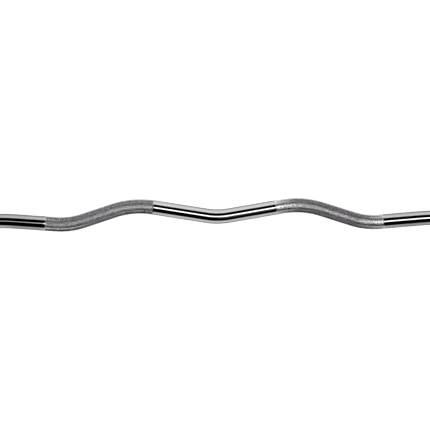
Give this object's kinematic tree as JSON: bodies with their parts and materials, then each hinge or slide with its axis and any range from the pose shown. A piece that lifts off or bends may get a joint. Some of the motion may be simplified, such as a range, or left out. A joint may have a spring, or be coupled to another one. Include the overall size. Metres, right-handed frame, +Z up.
{
  "type": "ez curl bar",
  "caption": "Chromed curl bar whose shaft is bent into a shallow W, with knurled grips and a turning flanged plate sleeve at each end.",
  "frame": {"origin": "middle of the bar, on the axis of the two sleeves", "axes": "+X along the bar towards its right end, +Z up; the bar lies as on a floor, on its flanges, with the bends drooping towards -Y until the grip peaks touch the same floor"},
  "size_m": [1.2272, 0.066, 0.066],
  "materials": {
    "chrome_shaft": "bright hard chrome, knurled at the grips",
    "chrome_fittings": "turned and chromed",
    "chrome_sleeve": "chromed tube with fine turning marks",
    "bronze": "oil-filled sintered bronze",
    "black_nylon": "matte",
    "black_cap": "moulded, satin",
    "zinc_steel": "zinc plated",
    "spring_steel": "oiled black spring steel"
  },
  "bodies": {
    "bar": {"shaft": "chrome_shaft", "left_stop_ring": "chrome_fittings", "left_stop_ring_pin": "spring_steel", "left_thrust_washer": "black_nylon", "left_retaining_washer": "zinc_steel", "left_lock_washer": "spring_steel", "left_end_bolt": "zinc_steel", "right_stop_ring": "chrome_fittings", "right_stop_ring_pin": "spring_steel", "right_thrust_washer": "black_nylon", "right_retaining_washer": "zinc_steel", "right_lock_washer": "spring_steel", "right_end_bolt": "zinc_steel"},
    "left_sleeve_assembly": {"left_sleeve": "chrome_sleeve", "left_flange": "chrome_fittings", "left_inner_bushing": "bronze", "left_outer_bushing": "bronze", "left_end_cap": "black_cap"},
    "right_sleeve_assembly": {"right_sleeve": "chrome_sleeve", "right_flange": "chrome_fittings", "right_inner_bushing": "bronze", "right_outer_bushing": "bronze", "right_end_cap": "black_cap"}
  },
  "joints": [
    {"name": "left_sleeve_spin", "type": "hinge", "parent": "bar", "child": "left_sleeve_assembly", "pos_m": [-0.53437, 0, 0], "axis": [1, 0, 0], "continuous": true},
    {"name": "right_sleeve_spin", "type": "hinge", "parent": "bar", "child": "right_sleeve_assembly", "pos_m": [0.53437, 0, 0], "axis": [1, 0, 0], "continuous": true}
  ]
}
